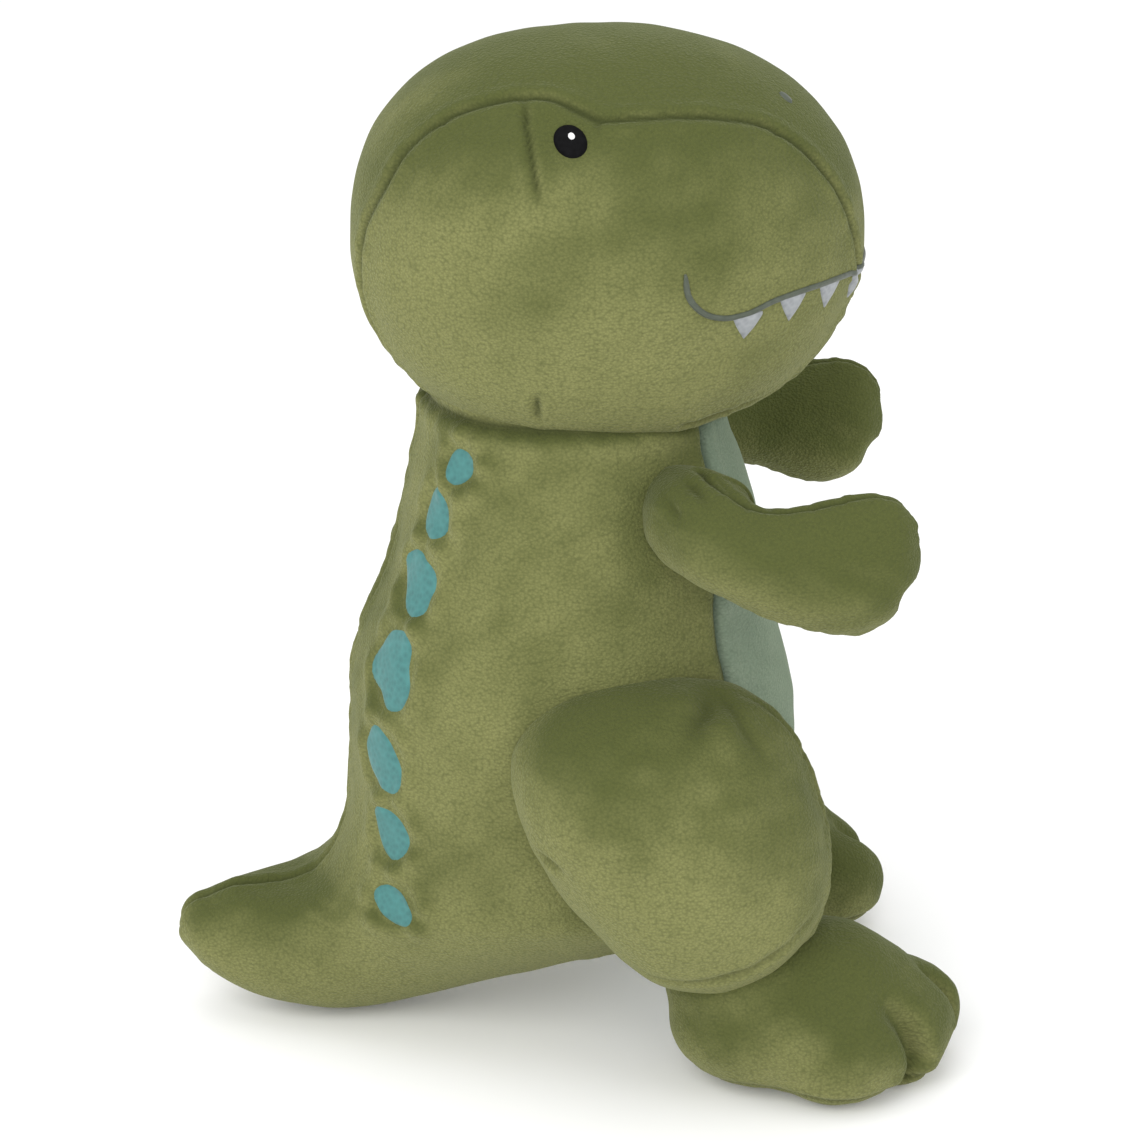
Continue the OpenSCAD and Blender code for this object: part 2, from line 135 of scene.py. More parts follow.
def taken(obj, name):
    layer = obj.data.attributes[name]
    wide = 3 if layer.data_type == "FLOAT_VECTOR" else 1
    values = np.zeros(len(obj.data.vertices) * wide, np.float32)
    layer.data.foreach_get("vector" if wide == 3 else "value", values)
    return values.reshape(-1, 3).astype(float) if wide == 3 else values.astype(float)


def places(obj):
    co = np.zeros(len(obj.data.vertices) * 3, np.float32)
    obj.data.vertices.foreach_get("co", co)
    return co.reshape(-1, 3).astype(float) / MM


def normals(obj):
    out = np.zeros(len(obj.data.vertices) * 3, np.float32)
    obj.data.vertex_normals.foreach_get("vector", out)
    return out.reshape(-1, 3).astype(float)


def put(obj, points):
    obj.data.vertices.foreach_set("co", (points * MM).astype(np.float32).ravel())
    obj.data.update()


def applied(obj, kind, **settings):
    """Adds a modifier and applies it to the mesh."""
    modifier = obj.modifiers.new(kind.lower(), kind)
    for key, value in settings.items():
        setattr(modifier, key, value)
    graph = bpy.context.evaluated_depsgraph_get()
    mesh = bpy.data.meshes.new_from_object(
        obj.evaluated_get(graph), preserve_all_data_layers=True, depsgraph=graph)
    obj.modifiers.remove(modifier)
    old = obj.data
    obj.data = mesh
    bpy.data.meshes.remove(old)
    mesh.shade_smooth()


def sewn_fill(cushions):
    """Blows up each coarse cushion a little as cloth, held at its seams, and keeps its size."""
    cloths = []
    for obj, held, cap in cushions:
        group = obj.vertex_groups.new(name="held")
        for i, weight in enumerate(held):
            if weight > 0.05:
                group.add([i], float(weight), "REPLACE")
        cloth = obj.modifiers.new("cloth", "CLOTH")
        settings = cloth.settings
        settings.quality = 4
        settings.mass = 0.2
        settings.tension_stiffness = 12
        settings.compression_stiffness = 8
        settings.shear_stiffness = 4
        settings.bending_stiffness = 0.4
        settings.use_pressure = True
        settings.uniform_pressure_force = 4
        settings.effector_weights.gravity = 0
        settings.vertex_group_mass = "held"
        cloth.collision_settings.use_self_collision = False
        cloth.collision_settings.use_collision = False
        cloths.append((obj, places(obj), normals(obj), cap))
    scene = bpy.context.scene
    for step in range(1, 21):
        scene.frame_set(step)
    graph = bpy.context.evaluated_depsgraph_get()
    filled = []
    for obj, start, outward, cap in cloths:
        mesh = obj.evaluated_get(graph).to_mesh()
        co = np.zeros(len(mesh.vertices) * 3, np.float32)
        mesh.vertices.foreach_get("co", co)
        filled.append(co.reshape(-1, 3).astype(float) / MM)
        obj.evaluated_get(graph).to_mesh_clear()
    for (obj, start, outward, cap), end in zip(cloths, filled):
        obj.modifiers.clear()
        obj.vertex_groups.clear()
        move = end - start
        swell = (move * outward).sum(1)
        move -= outward * 0.75 * np.median(swell)
        length = np.linalg.norm(move, axis=1)
        move *= (np.minimum(length, cap) / np.maximum(length, 1e-6))[:, None]
        put(obj, start + move)
    scene.frame_set(1)


def along(curve, gap=0.3):
    """Points spread evenly along a line of points, and how far along it each lies."""
    curve = np.asarray(curve, float)
    place = run_of(curve)
    want = np.arange(0, place[-1], gap)
    return np.stack([np.interp(want, place, curve[:, k]) for k in range(3)], 1), want


def nearness(points, curve, reach=9.0):
    """Each point's distance from a curve, and the place along it. Points beyond reach are left far."""
    line, where = along(curve)
    tree = KDTree(len(line))
    for i, p in enumerate(line):
        tree.insert(p, i)
    tree.balance()
    far = np.full(len(points), 1e3)
    place = np.zeros(len(points))
    low, high = line.min(0) - reach, line.max(0) + reach
    for i in np.nonzero(((points > low) & (points < high)).all(1))[0]:
        _, k, d = tree.find(points[i])
        far[i] = d
        place[i] = where[k]
    return far, place, where[-1]


def bell(distance, width):
    return np.exp(-((distance / width) ** 2))


def add_painted_shade(obj, values):
    """Keeps the strongest painted shade at a point from all the seams and folds that pass it."""
    before = taken(obj, "seam") if "seam" in obj.data.attributes else np.zeros(len(values))
    give(obj, "seam", np.maximum(before, values))


def seam(obj, curve, depth=1.2, width=1.1, puff=0.45, tuck=0.0, fade=0.0, seed=1):
    """Pulls the cloth in along a line of stitches, with raised padding beside it and small tucks across, and
    paints shade along the seam's valley.
    """
    home = taken(obj, "home") / MM
    points, outward = places(obj), normals(obj)
    far, place, length = nearness(home, curve)
    strength = np.ones(len(points))
    if fade > 0:
        strength = np.clip(np.minimum(place, length - place) / fade, 0, 1)
    lumps = wavy(np.stack([place, place * 0.3, 0 * place], 1), 7.0, seed)
    valley = bell(far, width) * (1 + 0.15 * lumps)
    shoulder = bell(far - 2.6 * width, 1.5 * width) * (1 + 0.5 * lumps)
    stitches = wavy(np.stack([place, 0 * place, 0 * place], 1), 4.2, seed + 5)
    gathers = tuck * np.maximum(0, stitches) * bell(far, 4.5) * (1 - bell(far, 1.2))
    points += outward * ((puff * shoulder - depth * valley - gathers) * strength)[:, None]
    put(obj, points)
    # Painted shade along the seam's valley.
    add_painted_shade(obj, bell(far, 0.75 * width) * strength)


def dent(obj, curve, depth, width):
    """A soft fold in the cloth along a line, deepest in its middle, with painted shade in the fold."""
    points, outward = places(obj), normals(obj)
    far, place, length = nearness(points, curve, 14.0)
    strength = np.clip(np.sin(math.pi * np.clip(place / length, 0.04, 0.96)), 0, 1)
    shape = depth * bell(far, width) - 0.35 * depth * bell(far - 2.4 * width, 1.4 * width)
    put(obj, points - outward * (shape * strength)[:, None])
    # Painted shade in the fold.
    add_painted_shade(obj, 0.5 * bell(far, 0.8 * width) * strength)


def folded_in(obj, side, setback, folds):
    """Presses folds into a limb. Each has stations of forward, out and height, then depth and width."""
    tree = tree_of(obj)
    for stations, depth, width in folds:
        line = [(side * out, -(forward - setback), height) for forward, out, height in stations]
        laid = [tuple(tree.find_nearest(Vector(p))[0]) for p in along(line, 1.0)[0]]
        dent(obj, laid, depth, width)


def nap_and_painted_shade(obj, lean=0.0, seed=5):
    """Stores painted shade and nap patches at each point, 0 light and 1 dark: darker where the skin faces up
    or forward and by its lean, with random patches.
    """
    home = taken(obj, "home") / MM
    outward = normals(obj)
    value = 0.95 * outward[:, 2] - 0.22 * outward[:, 1] + lean
    value += 0.24 * wavy(home, 46, seed) + 0.15 * wavy(home, 19, seed + 1) + 0.08 * wavy(home, 8, seed + 2)
    t = np.clip(value * 0.75 + 0.32, 0, 1)
    give(obj, "nap_and_painted_shade", t * t * (3 - 2 * t))


def soften(obj, scale=26.0, lift=0.5, seed=3):
    """The slight unevenness of stuffing under the cloth."""
    home = taken(obj, "home") / MM
    points = places(obj)
    rise = lift * wavy(home, scale, seed) + 0.3 * lift * wavy(home, scale / 3, seed + 1)
    points += normals(obj) * rise[:, None]
    put(obj, points)


def parted(obj, name, keep):
    """Moves the faces marked by keep to a new piece, with every point's values."""
    mesh = obj.data
    faces = [tuple(p.vertices) for p in mesh.polygons]
    fine = {n: taken(obj, n) for n in ("home", "seam", "nap_and_painted_shade") if n in mesh.attributes}
    points = places(obj)
    pieces = []
    for label, chosen in ((obj.name, ~keep), (name, keep)):
        picked = [f for f, k in zip(faces, chosen) if k]
        used = np.unique(np.array([v for f in picked for v in f]))
        index = np.full(len(points), -1)
        index[used] = np.arange(len(used))
        piece = make(label + "_part", points[used], [tuple(index[list(f)]) for f in picked])
        for n, values in fine.items():
            give(piece, n, values[used])
        pieces.append((label, piece))
    bpy.data.objects.remove(obj)
    for label, piece in pieces:
        piece.name = label
    return pieces[0][1], pieces[1][1]


def tree_of(obj):
    return BVHTree.FromPolygons((places(obj)).tolist(), [tuple(p.vertices) for p in obj.data.polygons])


# ---- Body and tail: one skin, in rings that turn from upright to lying as they run back ----

# Each ring: back edge (y, z), front edge (y, z), half width, half angle of the belly panel in degrees.
BODY_RINGS = [
    (9, 188, -15, 188, 12, 36),
    (25.6, 181, -31.6, 181, 28.6, 37),
    (31.9, 171.5, -37.9, 171.5, 34.9, 38),
    (33.9, 165, -39.9, 165, 36.6, 39),
    (35.0, 157, -42.0, 157, 38.6, 40),
    (37.0, 147, -46.0, 147, 41.5, 43),
    (39.5, 134, -49.0, 134, 43.8, 47),
    (43.0, 121, -51.0, 121, 45.2, 50),
    (48.5, 108, -54.0, 108, 46.8, 50),
    (52.0, 96, -57.4, 95, 48, 50),
    (52.8, 82, -59.7, 80, 48, 50),
    (53.2, 68, -60.0, 64, 48, 50),
    (55.0, 53, -58.5, 46, 47.5, 50),
    (59.0, 43.5, -53, 38, 45.5, 50),
    (64.5, 38.6, -38, 29.5, 40, 46),
    (71, 36.5, -14, 19.5, 33.5, 38),
    (78, 35.6, 15, 10, 26, 28),
    (84, 34.8, 42, 2.6, 20.5, 22),
    (89, 32.8, 60, 0.8, 17.2, 20),
    (93.3, 31.3, 73, 3.6, 14, 18),
    (96.4, 28.6, 84, 8.2, 11.3, 16),
    (97.8, 25.2, 90.5, 12.6, 7.6, 14),
    (98.2, 22.6, 94.4, 16.4, 3.8, 12),
]
HALF_AROUND = 46
PANEL_COLUMNS = 14
BODY_STEPS = 74
NECK_SEAM = 165
PANEL_STEP = 50


def body_ring(row, turns):
    """Points of one ring at the given angles from the front."""
    back, front = np.array(row[0:2]), np.array(row[2:4])
    middle, half = (back + front) / 2, (front - back) / 2
    fullness = 2 / (2.25 - 0.25 * min(1, max(0, (row[2] + 45) / 40)))
    c = np.sign(np.cos(turns)) * np.abs(np.cos(turns)) ** fullness
    s = np.sign(np.sin(turns)) * np.abs(np.sin(turns)) ** fullness
    yz = middle + c[:, None] * half
    return np.stack([row[4] * s, yz[:, 0], yz[:, 1]], 1)


def ring_turns(edge):
    """Angles round a ring, with one column of points on each edge of the belly panel."""
    edge = math.radians(edge)
    front = np.linspace(0, edge, PANEL_COLUMNS + 1)
    rest = np.linspace(edge, math.pi, HALF_AROUND - PANEL_COLUMNS + 1)[1:]
    right = np.concatenate([front, rest])
    return np.concatenate([right, -right[-2:0:-1]])


def floor_rest(points, soft=2.0):
    """Flattens what would sink below the floor."""
    z = points[:, 2]
    points[:, 2] = soft * np.logaddexp(0, z / soft * 1.6) / 1.6 - 0.25
    points[:, 2] = np.maximum(points[:, 2], 0.05)


body_rows = smooth_rows(BODY_RINGS, BODY_STEPS)
AROUND = 2 * HALF_AROUND
body_points = np.vstack([body_ring(row, ring_turns(row[5])) for row in body_rows])
floor_rest(body_points)


def body_line(column, first=0, last=BODY_STEPS):
    """A line of stitches that runs down the body along one column of points."""
    return body_points[column::AROUND][first:last]


body_grid, body_faces = capped(body_points, ring_faces(BODY_STEPS, AROUND), BODY_STEPS, AROUND)
body_skin = make("body_skin", body_grid, body_faces)
columns = np.arange(len(body_grid)) % AROUND
rows_of = np.arange(len(body_grid)) // AROUND
on_panel_edge = np.isin(columns, (PANEL_COLUMNS, AROUND - PANEL_COLUMNS)) & (rows_of <= PANEL_STEP)
on_back = columns == HALF_AROUND
body_held = np.where(on_panel_edge | on_back, 1.0, 0.0)
neck_row = int(np.argmin(np.abs(body_rows[:, 1] - NECK_SEAM)))
body_held[rows_of <= neck_row] = 1.0
body_held[body_grid[:, 2] < 2.5] = 1.0
body_held[-2:] = 1.0

# ---- Head: a rounded block with a long muzzle ----

HEAD_CENTRE = np.array([0, -12, 206.0])
HEAD_HALF = np.array([52, 62.4, 49.0])
HEAD_CELLS = 24
HEAD_BASE = 168


def head_form(directions):
    """Points on the head in the given directions from its middle."""
    d = directions / np.linalg.norm(directions, axis=1)[:, None]
    ahead = np.clip(0.5 - d[:, 1] * 1.5, 0, 1)
    low = np.clip(-2.5 * d[:, 2] - 0.9, 0, 1)
    n = 2.35 - 0.3 * ahead
    m = 2.0 + 0.6 * low
    q = np.abs(d) / HEAD_HALF
    r = (q[:, 0] ** m + (q[:, 1] ** n + q[:, 2] ** n) ** (m / n)) ** (-1 / m)
    return HEAD_CENTRE + d * r[:, None]


def head_at(forward, side, height):
    """The point of the head's surface straight out from its middle through a place given on it."""
    return head_form(np.array([[side, -forward, height]], float))[0]


def head_line(stations, count=60):
    """A smooth line over the head through (forward, side, height) stations."""
    forward, side, height = smooth_rows(stations, count).T
    return head_form(np.stack([side, -forward, height], 1))


def block_grid(cells):
    """Points and faces of a cube's six sides, with shared edges, spread evenly for a ball."""
    index, points, faces = {}, [], []
    step = np.tan(np.linspace(-math.pi / 4, math.pi / 4, cells + 1))
    for axis in range(3):
        for sign in (-1, 1):
            ids = np.zeros((cells + 1, cells + 1), int)
            for i in range(cells + 1):
                for j in range(cells + 1):
                    p = [0.0, 0.0, 0.0]
                    p[axis] = float(sign)
                    p[(axis + 1) % 3] = step[i] * sign
                    p[(axis + 2) % 3] = step[j]
                    key = tuple(round(v, 6) for v in p)
                    if key not in index:
                        index[key] = len(points)
                        points.append(p)
                    ids[i, j] = index[key]
            for i in range(cells):
                for j in range(cells):
                    faces.append((ids[i, j], ids[i + 1, j], ids[i + 1, j + 1], ids[i, j + 1]))
    return np.array(points), faces


block, head_faces = block_grid(HEAD_CELLS)
head_points = head_form(block * HEAD_HALF)
head_skin = make("head_skin", head_points, head_faces)

# The top gusset's seam on one side: forward, side, height.
GUSSET = [
    (57.8, 18, -6.5), (56.8, 21.4, 1.7), (54.6, 23.5, 8.7), (50.3, 25.3, 16.8), (42.5, 27.3, 25.4),
    (35, 28.7, 30.6), (24.1, 32.2, 33.7), (13.5, 34.9, 35), (4, 36.3, 34.9), (-4.1, 36.7, 34.8),
    (-9.6, 34.1, 36.5), (-16, 30.7, 38.3), (-22.1, 28.8, 38.3), (-29.2, 27.1, 37), (-39.5, 24.8, 33),
    (-47.8, 23.2, 26.4), (-54.1, 21.9, 16.6),
    (-58.5, 16, 4), (-58, 12.5, -10), (-52, 11, -26), (-43, 11, -37),
]
CHIN = [
    (57.8, 18, -6.5), (58.7, 12, -14), (51, 14.3, -26.2), (42.6, 19, -33.5), (25.1, 31, -37.4),
    (15.4, 34, -40.1),
]
# Short darts: above and below the cheek, and the tuck where the gusset turns over the eye.
DARTS = [
    ([(-21.8, 29, 38.2), (-21.2, 39.2, 28.8), (-19.1, 46.6, 17)], 30),
    ([(-20.1, 42.7, -27.7), (-19.4, 39, -33), (-18.6, 35.3, -39)], 30),
    ([(-5, 35.6, 35.6), (-5.5, 37.5, 33.5), (-5.5, 39, 31.5)], 20),
]


def mirrored(stations, side):
    return [(f, s * side, z) for f, s, z in stations]


head_seams, head_darts = [], []
for side in SIDES:
    head_seams += [head_line(mirrored(GUSSET, side), 140), head_line(mirrored(CHIN, side))]
    head_darts += [head_line(mirrored(dart, side), count) for dart, count in DARTS]
head_held = np.zeros(len(head_points))
for line in head_seams:
    head_held = np.maximum(head_held, (nearness(head_points, line)[0] < 2.6) * 1.0)
head_held[head_points[:, 2] < HEAD_BASE] = 1.0

# ---- Arms: tubes that curve forward from the shoulder and end in a mitten with two lobes ----

# Each ring: out from the middle, forward, height of its middle, heading, half height, half thickness.
ARM_RINGS = [
    (27, 20, 146, 0, 4, 3),
    (31, 23, 145.8, 0, 8.5, 7),
    (36, 27, 145.6, 0, 11.4, 10.2),
    (42, 29.7, 145.3, 4, 12.8, 12.4),
    (48, 32, 144.6, 25, 12.4, 12.2),
    (53.5, 36.5, 142.4, 55, 12.2, 11.4),
    (56.5, 42.5, 139.9, 74, 12.4, 10.8),
    (57.5, 49, 138.5, 86, 13.2, 10.5),
    (57.5, 55, 137.7, 92, 14.6, 10.6),
    (57, 61, 137.4, 94, 16.2, 10.9),
    (56.5, 66.5, 137.8, 94, 17.3, 10.9),
    (56, 71.2, 138.8, 95, 16, 10.0),
    (55.5, 75.2, 140.6, 95, 12.8, 8.6),
    (55.2, 78.6, 142.2, 95, 9.2, 6.2),
    (55, 80.6, 143, 95, 4.6, 3.2),
]
HAND_MIDDLE = 56
# The fold between the two lobes of the hand, round its tip: out from its middle, forward, height.
HAND_NOTCH = [(10.5, 63, 139.5), (7, 70.5, 135.5), (0, 76.5, 131.5), (-7, 70.5, 135.5), (-10.5, 63, 139.5)]
# Angles round the shoulder of its small tucks, in degrees.
SHOULDER_TUCKS = (50, 80, 112, 140)
ARM_AROUND = 40
ARM_STEPS = 34
ARM_SETBACK = {-1: 0.0, 1: -8.0}


def arm_grid(side):
    rows = smooth_rows(ARM_RINGS, ARM_STEPS)
    rings = []
    for out, forward, height, heading, tall, thick in rows:
        turn = np.linspace(0, 2 * math.pi, ARM_AROUND, endpoint=False)
        across, up = thick * np.cos(turn), tall * np.sin(turn)
        angle = math.radians(heading)
        setback = ARM_SETBACK[side] * min(1, max(0, (forward - 26) / 16))
        x = out + across * math.sin(angle)
        y = -(forward - setback) + across * math.cos(angle)
        rings.append(np.stack([side * x, y, height + up], 1))
    return np.vstack(rings)


def turned_out(faces, side):
    return [tuple(reversed(f)) for f in faces] if side < 0 else faces


arms, arm_seams = {}, {}
for side in SIDES:
    grid = arm_grid(side)
    points, faces = capped(grid, ring_faces(ARM_STEPS, ARM_AROUND), ARM_STEPS, ARM_AROUND)
    faces = turned_out(faces, -side)
    arms[side] = make(f"arm_skin_{SIDES[side]}", points, faces)
    column = np.arange(len(points)) % ARM_AROUND
    row = np.arange(len(points)) // ARM_AROUND
    top, bottom = ARM_AROUND // 4, 3 * ARM_AROUND // 4
    held = np.where(np.isin(column, (top, bottom)) | (row < 6), 1.0, 0.0)
    held[-2:] = 1.0
    upper = grid[top::ARM_AROUND][5:]
    lower = grid[bottom::ARM_AROUND][5:]
    arm_seams[side] = np.vstack([upper, lower[::-1]])
    arms[side]["held"] = held.tolist()

# ---- Thighs: round cushions, their outline given as forward and height ----

THIGH_OUTLINE = [
    (62, 66), (59.5, 78), (54.5, 89.5), (48, 98.5), (39.5, 104), (30, 106), (20, 105.8),
    (8, 104), (-4, 100.3), (-11, 96), (-15, 89), (-15.4, 82), (-13.2, 72), (-7.2, 61.5),
    (3.7, 45.5), (12, 36.5), (20, 29.5), (36, 27), (50, 32), (60, 43), (62.3, 54),
]
THIGH_MIDDLE = np.array([25, 68.0])
THIGH_SIZE = 38
THIGH_RIM = 52
THIGH_AROUND = 56
LEG_SETBACK = {-1: 0.0, 1: 8.0}
# Each ring: share of the outline's size, out from the middle.
THIGH_PROFILE = [
    (0.02, 78.3), (0.16, 78), (0.3, 77.2), (0.44, 75.8), (0.57, 73.8), (0.69, 71),
    (0.79, 67.6), (0.87, 63.8), (0.935, 59.4), (0.975, 55), (1, 50.5), (1, 46.5),
    (0.965, 43), (0.9, 40.5), (0.78, 38.5), (0.5, 37), (0.2, 36),
]


def thigh_radius(turn):
    outline = np.array(THIGH_OUTLINE) - THIGH_MIDDLE
    angle = np.arctan2(outline[:, 1], outline[:, 0])
    reach = np.linalg.norm(outline, axis=1)
    order = np.argsort(angle)
    angle, reach = angle[order], reach[order]
    angle = np.concatenate([angle - 2 * math.pi, angle, angle + 2 * math.pi])
    reach = np.tile(reach, 3)
    soft = [np.interp(turn + k, angle, reach) for k in np.linspace(-0.16, 0.16, 7)]
    return np.mean(soft, 0)


def thigh_grid(side):
    turn = np.linspace(0, 2 * math.pi, THIGH_AROUND, endpoint=False)
    reach = thigh_radius(turn)
    profile = smooth_rows([(a * THIGH_SIZE, x, 0, 0) for a, x in THIGH_PROFILE], 26)
    rings = []
    for share, out, _, _ in profile:
        forward = THIGH_MIDDLE[0] + share / THIGH_SIZE * reach * np.cos(turn)
        height = THIGH_MIDDLE[1] + share / THIGH_SIZE * reach * np.sin(turn)
        lean = (height - THIGH_MIDDLE[1]) * 0.05
        rings.append(np.stack([side * (out - lean), -(forward - LEG_SETBACK[side]), height], 1))
    return np.vstack(rings), len(profile)


thighs, thigh_lines = {}, {}
for side in SIDES:
    grid, count = thigh_grid(side)
    faces = turned_out(ring_faces(count, THIGH_AROUND), -side)
    points, faces = capped(grid, faces, count, THIGH_AROUND)
    thighs[side] = make(f"thigh_skin_{SIDES[side]}", points, faces)
    row = np.arange(len(points)) // THIGH_AROUND
    column = np.arange(len(points)) % THIGH_AROUND
    rim = int(np.argmin(np.abs(np.abs(grid[::THIGH_AROUND, 0]) - THIGH_RIM)))
    held = np.where((row == rim) | (row > count - 8), 1.0, 0.0)
    held[-1] = 1.0
    thighs[side]["held"] = held.tolist()
    thigh_lines[side] = grid[rim * THIGH_AROUND:(rim + 1) * THIGH_AROUND]

# Folds in each thigh.
THIGH_FOLDS = [
    ([(-14, 56, 66), (-8, 63, 66.5), (-2, 67, 65.5)], 1.5, 1.4),
    ([(34, 47, 107), (31, 58, 102), (25, 66, 97)], 2.2, 3.0),
    ([(33, 47, 107), (40, 62, 100), (47, 66, 93)], 0.9, 2.0),
    ([(12, 60, 42), (25, 68, 38), (40, 70, 41), (52, 68, 48), (60, 60, 55)], 0.9, 1.3),
]

# ---- Feet: heel, instep and three toes, joined and smoothed ----

# Each lump: forward, out, height, half length, half width, half height.
FOOT_LUMPS = [
    (46.5, 47.5, 17.5, 23.5, 21, 17.8),
    (44, 47, 28.5, 22, 19.5, 17.8),
    (58, 49.5, 18.4, 25, 23.5, 18.8),
    (61, 48, 22, 23.5, 19.5, 20.5),
    (69, 47, 18.2, 21, 18.5, 18.5),
    (64, 62, 13, 16.5, 13, 13.2),
    (76.5, 51.5, 14.6, 18.4, 12.2, 14.8),
    (82, 37, 13.2, 16.6, 11.6, 13.6),
]
# Folds between the toes, from under the toes up over the front.
TOE_FOLDS = [
    ([(70, 60, 0), (79, 61, 4), (83, 61, 11), (79, 60, 19), (71, 59, 25)], 4.6, 2.3),
    ([(80, 44, 0), (93, 44, 4), (96, 44, 12), (91, 44, 21), (82, 44, 28)], 4.0, 2.2),
]
FOOT_SPLAY = math.radians(12)
FOOT_FRONT = -97.6
SOLE_SEAM = 4.6
FOOT_CELL = 0.0021


def foot_points(side, lump, ball):
    forward, out, height, length, width, tall = lump
    ahead, across = ball[:, 0] * length, ball[:, 1] * width
    f = forward + ahead * math.cos(FOOT_SPLAY) - across * math.sin(FOOT_SPLAY)
    x = out + ahead * math.sin(FOOT_SPLAY) * 0.6 + across * math.cos(FOOT_SPLAY)
    return np.stack([side * x, -(f - LEG_SETBACK[side]), height + ball[:, 2] * tall], 1)


def foot_form(side):
    """The lumps joined into one skin of even cells, then relaxed."""
    ball, faces = block_grid(7)
    ball = ball / np.linalg.norm(ball, axis=1)[:, None]
    points, cells = [], []
    for lump in FOOT_LUMPS:
        start = len(points) * len(ball)
        points.append(foot_points(side, lump, ball))
        cells += [tuple(v + start for v in f) for f in turned_out(faces, side)]
    obj = make(f"foot_skin_{SIDES[side]}", np.vstack(points), cells)
    applied(obj, "REMESH", mode="VOXEL", voxel_size=FOOT_CELL, use_smooth_shade=True)
    applied(obj, "SMOOTH", factor=0.5, iterations=15)
    points = places(obj)
    floor_rest(points, 1.6)
    points[:, 1] = np.maximum(points[:, 1], FOOT_FRONT)
    put(obj, points)
    give(obj, "home", points * MM)
    return obj


feet = {side: foot_form(side) for side in SIDES}
for side in SIDES:
    foot = places(feet[side])
    feet[side]["held"] = ((foot[:, 2] < 3) * 1.0).tolist()

# ---- Filling ----

cushions = [(body_skin, body_held, 2.4), (head_skin, head_held, 2.2)]
for group, cap in ((arms, 1.6), (thighs, 2.0), (feet, 1.2)):
    cushions += [(obj, list(obj["held"]), cap) for obj in group.values()]
sewn_fill(cushions)
for group in (arms, thighs, feet):
    for obj in group.values():
        del obj["held"]

applied(body_skin, "SUBSURF", levels=2, boundary_smooth="ALL")
applied(head_skin, "SUBSURF", levels=2)
for group, levels in ((arms, 2), (thighs, 2), (feet, 1)):
    for obj in group.values():
        applied(obj, "SUBSURF", levels=levels)

# ---- Unevenness, seams, darts and tucks ----

soften(body_skin, 34, 0.45, 11)
soften(head_skin, 40, 0.4, 12)
for side in SIDES:
    seam(body_skin, body_line(PANEL_COLUMNS if side > 0 else AROUND - PANEL_COLUMNS, 8, PANEL_STEP + 1),
         depth=1.3, width=1.3, puff=0.5, tuck=0.5, seed=20 + side)
seam(body_skin, body_line(HALF_AROUND, 8), depth=1.2, width=1.2, puff=0.5, tuck=0.5, seed=24)
seam(body_skin, body_line(0, PANEL_STEP), depth=1.0, width=1.2, puff=0.4, tuck=0.3, seed=25)
neck_ring = body_points[neck_row * AROUND:(neck_row + 1) * AROUND]
neck_line = np.vstack([neck_ring, neck_ring[:1]])
seam(body_skin, neck_line, depth=1.6, width=1.6, puff=0.6, tuck=0.5, seed=26)
for k, line in enumerate(head_seams):
    seam(head_skin, line, depth=1.0, width=1.0, puff=0.5, tuck=0.35, seed=30 + k)
for k, line in enumerate(head_darts):
    seam(head_skin, line, depth=1.0, width=0.9, puff=0.35, fade=5, seed=40 + k)

for side in SIDES:
    soften(arms[side], 24, 0.5, 50 + side)
    seam(arms[side], arm_seams[side], depth=1.0, width=1.0, puff=0.4, tuck=0.45, seed=52 + side)
    notch = [(side * (HAND_MIDDLE + out), -(forward - ARM_SETBACK[side]), height)
             for out, forward, height in HAND_NOTCH]
    dent(arms[side], notch, 3.4, 2.5)
    for turn in SHOULDER_TUCKS:
        rise, out = 13 * math.sin(math.radians(turn)), 13 * math.cos(math.radians(turn))
        near_body = (side * 46, -(31 + out - ARM_SETBACK[side]), 145.5 + rise)
        away = (side * 57, -(37 + 1.2 * out - ARM_SETBACK[side]), 143 + 0.85 * rise)
        dent(arms[side], [near_body, away], 0.9, 1.1)
    soften(thighs[side], 30, 0.6, 60 + side)
    front = np.roll(thigh_lines[side], THIGH_AROUND // 4, axis=0)[:THIGH_AROUND // 2 - 2]
    seam(thighs[side], front, depth=1.1, width=1.0, puff=0.5, tuck=0.4, fade=14, seed=62 + side)
    folded_in(thighs[side], side, LEG_SETBACK[side], THIGH_FOLDS)
    folded_in(feet[side], side, LEG_SETBACK[side], TOE_FOLDS)
    soften(feet[side], 22, 0.35, 70 + side)
    foot, outward = places(feet[side]), normals(feet[side])
    low = (foot[:, 2] - SOLE_SEAM - 0.25 * wavy(foot, 9, 74)) / 0.9
    outer = np.clip((-foot[:, 1] - 30 + LEG_SETBACK[side]) / 12, 0, 1)
    share = outer * np.sqrt(np.clip(1 - outward[:, 2] ** 2, 0, 1))
    foot -= outward * ((0.9 * bell(low, 1) - 0.35 * bell(low - 2.6, 1.4)) * share)[:, None]
    put(feet[side], foot)
    # Painted shade along the sunk sole seam.
    give(feet[side], "seam", bell(low, 0.8) * share)

# ---- Marks sewn on the skin ----


def lift_patch(name, tree, centre, outward, up, outline, height, rings=9, around=44):
    """A lens of satin stitch, laid on the skin round a point. outline gives its half sizes at each angle."""
    outward = Vector(outward).normalized()
    up = Vector(up)
    up = (up - outward * up.dot(outward)).normalized()
    right = up.cross(outward)
    points, home = [], []
    for i in range(rings + 1):
        share = i / rings
        for j in range(around):
            angle = 2 * math.pi * j / around
            a, b = outline(angle)
            spot = Vector(centre) + (right * a + up * b) * share
            hit, normal, _, _ = tree.ray_cast(spot + outward * 30, -outward)
            if hit is None:
                hit, normal, _, _ = tree.find_nearest(spot)
            rise = height * math.sqrt(max(0, 1 - share**3)) - (0.35 if i == rings else 0)
            points.append(hit + normal * rise)
            home.append((a * share, b * share, 0))
    faces = ring_faces(rings + 1, around)
    obj = make(name, np.array([tuple(p) for p in points]), faces)
    give(obj, "home", np.array(home) * MM)
    return obj


